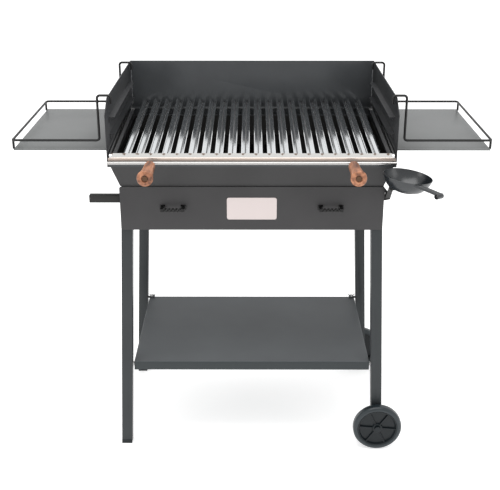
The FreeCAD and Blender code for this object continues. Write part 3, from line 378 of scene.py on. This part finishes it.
def paint(name):
    """A listed paint as it is."""
    return paint_tree(name)[0]


def body_paint():
    """The fire box's paint, black, with painted shade on the faces towards the fire."""
    material, tree, shader, shade = paint_tree("BodyPaint")
    low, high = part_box("ash_floor")
    fire = ((low.x + high.x) / 2, (low.y + high.y) / 2, high.z + (high.y - low.y) * FIRE_HEIGHT)
    # Painted shade on the faces that look towards the fire.
    shade = mixed(tree, facing_inside(tree, fire), shade, FIRE_BOX_PAINTED_SHADE)
    tree.links.new(shade, shader.inputs["Base Color"])
    return material


def shelf_paint():
    """The shelf's paint, with painted shade on its turned-down edges."""
    material, tree, shader, shade = paint_tree("ShelfPaint")
    _, _, z = position(tree)
    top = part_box("shelf_tray")[1].z
    # Painted shade on the lip below the shelf's top.
    lip = calculate(tree, "LESS_THAN", z, top - 2 * EDGE)
    tree.links.new(mixed(tree, lip, shade, SHELF_LIP_PAINTED_SHADE), shader.inputs["Base Color"])
    return material


def steel_tree(name):
    """A listed metal as rolled sheet, with fine lines along its length."""
    finish = USUAL_STEEL | STEELS[name]
    material, tree, shader = node_tree(name)
    shader.inputs["Metallic"].default_value = 1.0
    lines = object_noise(tree, finish["grain"], LINE_DETAIL, finish["stretch"])
    dim = tuple(channel * LINE_DIM for channel in finish["colour"])
    shade = ramp(tree, lines, LINE_STOPS, (dim, finish["colour"]))
    tree.links.new(shade, shader.inputs["Base Color"])
    gloss = spread(tree, lines, *(finish["roughness"] * share for share in LINE_GLOSS))
    tree.links.new(gloss, shader.inputs["Roughness"])
    bump(tree, lines, shader, finish["relief"], LINE_DEPTH)
    return material, tree, shader, shade, gloss


def steel(name):
    """A listed metal as it is."""
    return steel_tree(name)[0]


def patchy_painted_shade(tree, where, scale, stretch, least):
    """Patchy painted shade on the part of a surface where a value is 1."""
    patches = object_noise(tree, scale, SHADE_PATCH_DETAIL, stretch)
    return calculate(tree, "MULTIPLY", where, spread(tree, patches, least, 1.0))


def grate_places(tree):
    """How far each point lies behind the grate's front, and how far below the bars' sloping tops."""
    points = [vertex.co for vertex in nodes["grate_bars"].data.vertices]
    front, back = min(point.y for point in points), max(point.y for point in points)
    start = max(point.z for point in points if point.y < front + 2 * STRIP_DEPTH) - STRIP_SHEET
    slope = (max(point.z for point in points) - start) / (back - front - STRIP_DEPTH)
    _, y, z = position(tree)
    along = calculate(tree, "SUBTRACT", y, front)
    surface = calculate(tree, "MULTIPLY_ADD", along, slope, start - slope * STRIP_DEPTH)
    return along, calculate(tree, "SUBTRACT", surface, z)


def weld_marks(tree, along):
    """1 on the ragged marks where each bar is welded to the strip, and 0 elsewhere."""
    x, _, _ = position(tree)
    shifted = calculate(tree, "ADD", x, BAR_PITCH * (BARS + 0.5) + MARK_OFFSET)
    cell = calculate(tree, "PINGPONG", shifted, BAR_PITCH / 2)
    seam = calculate(tree, "ABSOLUTE", calculate(tree, "SUBTRACT", along, STRIP_DEPTH - STRIP_SHEET))
    mark = calculate(tree, "MULTIPLY_ADD", seam, MARK_STRETCH, cell)
    specks = object_noise(tree, *MARK_SPECKS)
    ragged = calculate(tree, "MULTIPLY_ADD", specks, MARK_RAGGED, mark)
    return calculate(tree, "SUBTRACT", 1.0, between(tree, ragged, *MARK_EDGE))


def grate_steel():
    """Bright bars with painted shade in their valleys and over the strip, weld marks, and a dull warm face
    with painted shade at its foot.
    """
    material, tree, shader, shade, gloss = steel_tree("GrateSteel")
    along, depth = grate_places(tree)
    # Patchy painted shade in the bars' valleys.
    painted_shade = patchy_painted_shade(tree, between(tree, depth, *VALLEY), *BAR_SHADE_PATCHES)
    # The strip's steel is darkened as painted shade.
    strip = calculate(tree, "LESS_THAN", along, STRIP_DEPTH + STRIP_LAP)
    marks = weld_marks(tree, along)
    face = calculate(tree, "LESS_THAN", along, FACE_DEPTH)
    # Painted shade at the foot of the face, above the trough's lip.
    foot = calculate(tree, "MULTIPLY", face, between(tree, depth, *FACE_FOOT))
    for share, colour in (
        (painted_shade, VALLEY_PAINTED_SHADE),
        (strip, STRIP_PAINTED_SHADE),
        (marks, BROWN_WELD_AND_SHADE),
        (face, FACE_SHADE),
        (foot, FOOT_PAINTED_SHADE),
    ):
        shade = mixed(tree, share, shade, colour)
    tree.links.new(shade, shader.inputs["Base Color"])
    dull = calculate(tree, "MULTIPLY_ADD", calculate(tree, "MAXIMUM", painted_shade, marks), BAR_DULLING, gloss)
    dull = calculate(tree, "MULTIPLY_ADD", face, FACE_DULLING, dull)
    tree.links.new(dull, shader.inputs["Roughness"])
    return material


def trough_steel():
    """Bright steel, dull inside the channel and darkened there with brownish painted shade."""
    material, tree, shader, shade, gloss = steel_tree("TroughSteel")
    _, y, _ = position(tree)
    behind = calculate(tree, "SUBTRACT", y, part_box("grate_bars")[0].y)
    # Patchy brownish painted shade inside the channel.
    painted_shade = patchy_painted_shade(tree, between(tree, behind, *TROUGH_INSIDE), *TROUGH_SHADE_PATCHES)
    tree.links.new(mixed(tree, painted_shade, shade, BROWN_WELD_AND_SHADE), shader.inputs["Base Color"])
    dull = calculate(tree, "MULTIPLY_ADD", painted_shade, TROUGH_DULLING, gloss)
    tree.links.new(dull, shader.inputs["Roughness"])
    return material


def wood():
    """Varnished turned wood: grain along Y, darker pores, and a soft sheen."""
    material, tree, shader = node_tree("GripWood")
    grain = object_noise(tree, *WOOD_GRAIN)
    blotch = object_noise(tree, *WOOD_BLOTCH)
    blend = add(tree, "ShaderNodeMix", data_type="FLOAT", Factor=WOOD_BLOTCH_SHARE)
    tree.links.new(grain, blend.inputs["A"])
    tree.links.new(blotch, blend.inputs["B"])
    shade = ramp(tree, blend.outputs["Result"], *zip(*WOOD_STOPS))
    tree.links.new(shade, shader.inputs["Base Color"])
    tree.links.new(spread(tree, grain, *WOOD_ROUGHNESS), shader.inputs["Roughness"])
    shader.inputs["Coat Weight"].default_value = WOOD_COAT[0]
    shader.inputs["Coat Roughness"].default_value = WOOD_COAT[1]
    bump(tree, grain, shader, *WOOD_RELIEF)
    return material


def matching(start):
    """The names of all CAD nodes that start alike."""
    return [name for name in nodes if name.startswith(start)]


def dress(material, *names):
    """Gives a material to CAD nodes."""
    for name in names:
        for slot in nodes[name].material_slots:
            slot.link = "OBJECT"
            slot.material = material


def finished(name, mesh, material, crease):
    """An object of a mesh with smooth faces, creased edges and one material."""
    mesh.polygons.foreach_set("use_smooth", [True] * len(mesh.polygons))
    mesh.set_sharp_from_angle(angle=crease)
    mesh.materials.append(material)
    item = bpy.data.objects.new(name, mesh)
    bpy.context.scene.collection.objects.link(item)
    return item


def softened_copy(node, material):
    """The CAD solid with its sharp edges rounded, in its place."""
    work = bmesh.new()
    work.from_mesh(nodes[node].data)
    bmesh.ops.remove_doubles(work, verts=work.verts, dist=MERGE)
    bmesh.ops.dissolve_limit(
        work, angle_limit=FLAT_ANGLE, verts=work.verts[:], edges=work.edges[:], use_dissolve_boundaries=False
    )
    shared = [edge for edge in work.edges if len(edge.link_faces) == 2]
    bmesh.ops.bevel(
        work,
        geom=[edge for edge in shared if edge.calc_face_angle(0) > FOLD_ANGLE],
        offset=EDGE,
        segments=EDGE_STEPS,
        profile=EDGE_PROFILE,
        affect="EDGES",
        clamp_overlap=True,
    )
    mesh = bpy.data.meshes.new(f"{node}_soft")
    work.to_mesh(mesh)
    work.free()
    item = finished(f"Soft_{node}", mesh, material, COPY_CREASE)
    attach(item, nodes[node].parent.name.removeprefix("body:"))
    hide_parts(node)


def piece(name, vertices, faces, material, body):
    """A new mesh that rides on a body."""
    mesh = bpy.data.meshes.new(name)
    mesh.from_pydata(vertices, [], faces)
    mesh.validate()
    work = bmesh.new()
    work.from_mesh(mesh)
    bmesh.ops.remove_doubles(work, verts=work.verts, dist=MERGE)
    bmesh.ops.recalc_face_normals(work, faces=work.faces)
    work.to_mesh(mesh)
    work.free()
    item = finished(name, mesh, material, PIECE_CREASE)
    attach(item, body)
    return item


def turned_mesh(profile, place, segments):
    """Vertices and faces of a profile of (height, radius) turned about the Z axis of a placement."""
    vertices, faces = [], []
    for height, radius in profile:
        for step in range(segments):
            angle = 2 * math.pi * step / segments
            point = Vector((radius * math.cos(angle), radius * math.sin(angle), height))
            vertices.append(place @ point)
    for ring in range(len(profile) - 1):
        for step in range(segments):
            after = (step + 1) % segments
            low, high = ring * segments, (ring + 1) * segments
            faces.append((low + step, low + after, high + after, high + step))
    return vertices, faces


def rounded_corner(before, corner, after, radius):
    """Points of a small arc in place of the corner of a profile."""
    corner, before, after = Vector(corner), Vector(before), Vector(after)
    inward, outward = (before - corner).normalized(), (after - corner).normalized()
    half = inward.angle(outward) / 2
    reach = min(radius / math.tan(half), (before - corner).length / 2, (after - corner).length / 2)
    radius = reach * math.tan(half)
    centre = corner + (inward + outward).normalized() * math.hypot(radius, reach)
    first, last = corner + inward * reach - centre, corner + outward * reach - centre
    shares = [step / CORNER_STEPS for step in range(CORNER_STEPS + 1)]
    return [tuple(centre + first.lerp(last, share).normalized() * radius) for share in shares]


def softened(profile, radius):
    """A closed profile with every corner rounded, which ends where it starts."""
    points = []
    for index, corner in enumerate(profile):
        points += rounded_corner(profile[index - 1], corner, profile[(index + 1) % len(profile)], radius)
    return [*points, points[0]]


def box_mesh(low, high, place, bevel):
    """A block with rounded edges, made in a placement's own frame."""
    work = bmesh.new()
    size = Vector(high) - Vector(low)
    middle = (Vector(high) + Vector(low)) / 2
    scale = Matrix.Diagonal((*size, 1))
    bmesh.ops.create_cube(work, size=1, matrix=Matrix.Translation(middle) @ scale)
    bmesh.ops.bevel(
        work, geom=work.edges[:], offset=bevel, segments=BLOCK_STEPS, profile=BLOCK_PROFILE, affect="EDGES"
    )
    vertices = [place @ vertex.co for vertex in work.verts]
    index = {vertex: number for number, vertex in enumerate(work.verts)}
    faces = [tuple(index[vertex] for vertex in face.verts) for face in work.faces]
    work.free()
    return vertices, faces


def joined(parts):
    """Several meshes as one list of vertices and one of faces."""
    vertices, faces = [], []
    for more_vertices, more_faces in parts:
        start = len(vertices)
        vertices += more_vertices
        faces += [tuple(start + number for number in face) for face in more_faces]
    return vertices, faces


def surface_spot(node, start, direction):
    """The place and the normal where a straight line first meets a CAD piece."""
    work = bmesh.new()
    work.from_mesh(nodes[node].data)
    spot, normal = BVHTree.FromBMesh(work).ray_cast(Vector(start), Vector(direction))[:2]
    work.free()
    return spot, normal


def tyre_section(width, radius, rim):
    """The outline of a tyre with bent shoulders, as (depth, radius)."""
    bend, drop = SHOULDER_BEND
    side = [(0, rim), (0, radius - SHOULDER), (bend, radius - drop), (SHOULDER, radius)]
    return softened(side + [(width - depth, reach) for depth, reach in reversed(side)], TREAD_ROUND)


def disc_section(width, rim):
    """The outline of a dished wheel with its rim and hub, as (depth, radius)."""
    hub, inner = rim * HUB_SHARE, rim - WHEEL_WALL
    bore = rim * BORE_SHARE
    disc = [
        (RIM_DEPTH, rim),
        (RIM_DEPTH, inner),
        (WHEEL_DISH, inner - RIM_SLOPE),
        (WHEEL_DISH, hub + HUB_SLOPE),
        (HUB_DEPTH, hub),
        (HUB_DEPTH, bore),
        (width, bore),
        (width, hub),
        (WHEEL_DISH + WHEEL_WALL, hub),
        (WHEEL_DISH + WHEEL_WALL, inner),
        (width - RIM_DEPTH, inner),
        (width - RIM_DEPTH, rim),
    ]
    return softened(disc, DISC_ROUND)


def wheel_rib(number, place, rim):
    """One spoke-like rib from the hub to the rim, on the dish."""
    turn = Matrix.Rotation(2 * math.pi * (number + RIB_TURN) / RIBS, 4, "Z")
    start = (rim * HUB_SHARE - RIB_LAP, -WHEEL_WALL / 2, RIB_DEPTH)
    stop = (rim - WHEEL_WALL, WHEEL_WALL / 2, WHEEL_DISH + RIB_ROOT)
    return box_mesh(start, stop, place @ turn, RIB_EDGE)


def wheels(plastic, rubber):
    """The wheels and tyres with soft edges and ribs, in place of their plain solids."""
    for end, facing in (("front", 1), ("rear", -1)):
        low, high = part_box(f"tyre_{end}")
        middle = (low + high) / 2
        width, radius = high.y - low.y, (high.z - low.z) / 2
        outer = Vector((middle.x, low.y if facing > 0 else high.y, middle.z))
        place = Matrix.Translation(outer) @ Matrix.Rotation(-math.pi / 2 * facing, 4, "X")
        rim_low, rim_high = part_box(f"wheel_{end}")
        rim = (rim_high.z - rim_low.z) / 2
        tread = turned_mesh(tyre_section(width, radius, rim), place, WHEEL_STEPS)
        tyre = piece(f"TyreMoulded{end.title()}", *tread, rubber, f"{end}_wheel")
        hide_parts(f"tyre_{end}")
        parts = [turned_mesh(disc_section(width, rim), place, WHEEL_STEPS)]
        parts += [wheel_rib(number, place, rim) for number in range(RIBS)]
        wheel = piece(f"WheelMoulded{end.title()}", *joined(parts), plastic, f"{end}_wheel")
        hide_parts(f"wheel_{end}")


def corner_welds(material):
    """A rippled weld bead up each inner back corner of the windshield."""
    low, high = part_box("wall_back")
    height = high.z - WELD_STEP
    for side, outward in (("left", -1), ("right", 1)):
        inner = (0, low.y - WELD_STEP, height)
        across = surface_spot(f"wall_{side}", inner, (outward, 0, 0))[0].x
        back = surface_spot("wall_back", (0, 0, height), (0, 1, 0))[0].y
        place = Matrix.Translation((across, back, 0))
        bead = [(low.z + WELD_STEP, TIP)]
        for step in range(1, int((height - low.z) / WELD_STEP)):
            ripple = sum(size * math.sin(step * pace) for size, pace in WELD_RIPPLES)
            bead.append((low.z + (step + 0.5) * WELD_STEP, WELD_RADIUS * (1 + ripple)))
        bead.append((height, TIP))
        weld = piece(f"CornerWeld{side.title()}", *turned_mesh(bead, place, WELD_SIDES), material, "brazier")


def domed_head(name, spot, normal, radius, material, body):
    """A low domed head that sits on a surface."""
    place = Matrix.Translation(spot) @ normal.to_track_quat("Z", "Y").to_matrix().to_4x4()
    height = radius * HEAD_HEIGHT
    dome = [(height * up, radius * out) for up, out in HEAD_SECTION]
    dome.append((height, TIP))
    head = piece(name, *turned_mesh(dome, place, HEAD_SIDES), material, body)


def pan_rivets(enamel):
    """Two rivets inside the drip pan, one of them at its handle."""
    middle = sum(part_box("pan_bowl"), Vector()) / 2
    grip = sum(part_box("pan_handle"), Vector()) / 2 - middle
    for number, towards in enumerate((Vector((grip.x, grip.y, 0)), Vector(RIVET_TOWARDS))):
        spot, normal = surface_spot("pan_bowl", middle, towards.normalized())
        domed_head(f"PanRivet{number}", spot, normal, RIVET, enamel, "pan")


def ear_screw(zinc):
    """The screw in the ear of the pan's bracket."""
    low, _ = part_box("pan_bracket")
    points = [vertex.co for vertex in nodes["pan_bracket"].data.vertices]
    outer = max(point.x for point in points if point.z < low.z + EAR_FOOT)
    start = (outer - SCREW_INSET, low.y - CLEAR_OF_EAR, low.z + SCREW_HEIGHT)
    spot, normal = surface_spot("pan_bracket", start, (0, 1, 0))
    domed_head("EarScrew", spot, normal, SCREW, zinc, "brazier")


def handle_place():
    """The placement at the top of the pan handle's end: X along it, Y across it and Z off its upper face."""
    mesh = nodes["pan_handle"].data
    level = [face for face in mesh.polygons if face.normal.z > UPWARD]
    up = max(level, key=lambda face: face.area).normal
    upright = [face for face in mesh.polygons if abs(face.normal.dot(up)) < UPRIGHT]
    along = max(upright, key=lambda face: face.area).normal.cross(up).normalized()
    if along.dot(sum(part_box("pan_handle"), Vector()) - sum(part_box("pan_bowl"), Vector())) < 0:
        along.negate()
    across = up.cross(along)
    place = Matrix((along, across, up)).transposed().to_4x4()
    end = max(vertex.co.dot(along) for vertex in mesh.vertices) - 2 * EYE_RADIUS
    side = [vertex.co.dot(across) for vertex in mesh.vertices]
    top = max(vertex.co.dot(up) for vertex in mesh.vertices)
    place.translation = along * end + across * (max(side) + min(side)) / 2 + up * top
    return place


def rolled_handle(enamel):
    """The pan's grooved handle of folded sheet, with its end rolled into a hanging eye."""
    place = handle_place()
    inside = HANDLE_HALF - HANDLE_SHEET
    left = [(-inside, -HANDLE_DEPTH), (-HANDLE_HALF, -HANDLE_DEPTH), (-HANDLE_HALF, 0)]
    left += [(-GROOVE_HALF, 0), (-GROOVE_HALF / 2, -GROOVE_DEPTH)]
    right = [(-across, height) for across, height in reversed(left)]
    under = -HANDLE_SHEET - GROOVE_DEPTH
    section = softened([*left, *right, (inside, under), (-inside, under)], EDGE)[:-1]
    towards_bowl = -place.col[0].xyz
    root, tip = [], []
    for across, height in section:
        start = place @ Vector((-EYE_LENGTH, across, height))
        root.append(surface_spot("pan_bowl", start, towards_bowl)[0])
        bend = (EYE_RADIUS - HANDLE_SHEET / 2) ** 2 - (EYE_RADIUS + height) ** 2
        tip.append(place @ Vector((-math.sqrt(max(bend, 0)), across, height)))
    count = len(section)
    faces = [(step, (step + 1) % count, count + (step + 1) % count, count + step) for step in range(count)]
    faces += [tuple(range(count)), tuple(range(count, 2 * count))]
    eye = place @ Matrix.Translation((0, 0, -EYE_RADIUS)) @ Matrix.Rotation(math.pi / 2, 4, "X")
    half, bore = EYE_LENGTH / 2, EYE_RADIUS - HANDLE_SHEET
    ring = softened([(-half, EYE_RADIUS), (half, EYE_RADIUS), (half, bore), (-half, bore)], EDGE)
    parts = [(root + tip, faces), turned_mesh(ring, eye, EYE_SIDES)]
    handle = piece("PanHandleRolled", *joined(parts), enamel, "pan")
    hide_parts("pan_handle")


def camera():
    """The camera at the photograph's place."""
    data = bpy.data.cameras.new("Camera")
    data.sensor_width = SENSOR
    data.lens = SENSOR * FOCAL_PIXELS / PICTURE_WIDTH
    data.clip_end = CAMERA_REACH
    item = bpy.data.objects.new("Camera", data)
    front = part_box("wall_left")[0].y
    item.location = (0, front - CAMERA_DISTANCE, CAMERA_HEIGHT)
    item.rotation_euler = (CAMERA_TILT, 0, CAMERA_TURN)
    bpy.context.scene.collection.objects.link(item)
    bpy.context.scene.camera = item


def area_light(name, location, target, size, power):
    """A soft rectangular light that faces a target."""
    data = bpy.data.lights.new(name, "AREA")
    data.shape = "RECTANGLE"
    data.size, data.size_y = size
    data.energy = power
    item = bpy.data.objects.new(name, data)
    item.location = location
    direction = Vector(target) - Vector(location)
    item.rotation_euler = direction.to_track_quat("-Z", "Y").to_euler()
    bpy.context.scene.collection.objects.link(item)


def floor_paper():
    """White paper that glows a little, so that it shows white."""
    material, tree, shader = node_tree("FloorPaper")
    paper = object_noise(tree, *FLOOR_CLOUD)
    shade = ramp(tree, paper, PAINT_STOPS, FLOOR_TONES)
    tree.links.new(shade, shader.inputs["Base Color"])
    shader.inputs["Roughness"].default_value = FLOOR_ROUGHNESS
    shader.inputs["Specular IOR Level"].default_value = 0.0
    shader.inputs["Emission Color"].default_value = (1.0, 1.0, 1.0, 1.0)
    shader.inputs["Emission Strength"].default_value = FLOOR_GLOW
    return material


def studio():
    """A white floor and surround, with soft lights from above, left and right."""
    world = bpy.data.worlds.new("Studio")
    world.use_nodes = True
    world.node_tree.nodes["Background"].inputs["Color"].default_value = (1.0, 1.0, 1.0, 1.0)
    world.node_tree.nodes["Background"].inputs["Strength"].default_value = 1.0
    bpy.context.scene.world = world
    bpy.context.scene.view_settings.view_transform = "Standard"
    mesh = bpy.data.meshes.new("Floor")
    corners = [(-FLOOR, -FLOOR, 0), (FLOOR, -FLOOR, 0), (FLOOR, FLOOR, 0), (-FLOOR, FLOOR, 0)]
    mesh.from_pydata(corners, [], [(0, 1, 2, 3)])
    mesh.materials.append(floor_paper())
    floor = bpy.data.objects.new("Floor", mesh)
    bpy.context.scene.collection.objects.link(floor)
    for name, settings in LIGHTS.items():
        area_light(name, *settings)


def fire_box():
    """The windshield, its guides, the hopper and the ash floor."""
    dress(body_paint(), *matching("hopper_"), "ash_floor")
    # The back and front walls are painted lighter and the right wall darker than the body, as painted light
    # and shade.
    back = paint("BackPaint")
    dress(back, "wall_front")
    softened_copy("wall_back", back)
    left = paint("LeftPaint")
    dress(left, *matching("guide_"))
    softened_copy("wall_left", left)
    softened_copy("wall_right", paint("RightPaint"))
    # The beads' lighter paint is a painted highlight.
    corner_welds(paint("WeldPaint"))


def stand(plastic, zinc):
    """The legs with their feet and axles, the runners, the lift bars and the shelf."""
    frame_paint = paint("FramePaint")
    dress(frame_paint, *matching("runner_"), *matching("shelf_lug"))
    for name in matching("leg_"):
        softened_copy(name, frame_paint)
    # The lift bars are painted darker than the frame, as painted shade.
    bar_paint = paint("LiftBarPaint")
    for name in matching("lift_bar"):
        softened_copy(name, bar_paint)
    softened_copy("shelf_tray", shelf_paint())
    dress(zinc, *matching("wing_nut"), *matching("shelf_spacer"))
    dress(plastic, *matching("foot_"), *matching("axle_"))


def drawer():
    """The ash drawer with its iron handles and its bare plate."""
    drawer_paint = paint("DrawerPaint")
    dress(drawer_paint, "drawer_tray")
    softened_copy("drawer_front", drawer_paint)
    dress(paint("HandleIron"), *matching("drawer_handle"))
    softened_copy("drawer_badge", paint("BadgeWhite"))


def tables(rod_paint):
    """The plates and rods of the side tables."""
    table = paint("TablePaint")
    for side in ("left", "right"):
        softened_copy(f"table_{side}_plate", table)
        dress(rod_paint, f"table_{side}_rod")


def grate():
    """The cooking grate with its trough and wooden grips."""
    dress(grate_steel(), "grate_bars")
    dress(steel("RodSteel"), "grate_cross_bar", *matching("grate_side"))
    dress(trough_steel(), "grease_trough")
    # The grip rods are dark as painted shade of the recesses at the grips' ends.
    dress(steel("DarkScrew"), *matching("grip_rod"))
    dress(wood(), "grip_left", "grip_right")


def drip_pan(rod_paint, zinc):
    """The drip pan, its handle and its bracket."""
    dress(rod_paint, "pan_bracket")
    ear_screw(zinc)
    enamel = paint("PanEnamel")
    dress(enamel, "pan_bowl")
    rolled_handle(enamel)
    pan_rivets(enamel)


def grill():
    """Dresses every CAD piece and puts the detailed pieces in place."""
    plastic, zinc, rod_paint = paint("WheelPlastic"), steel("Zinc"), paint("RodPaint")
    fire_box()
    stand(plastic, zinc)
    drawer()
    tables(rod_paint)
    grate()
    drip_pan(rod_paint, zinc)
    wheels(plastic, paint("TyreRubber"))


camera()
studio()
grill()
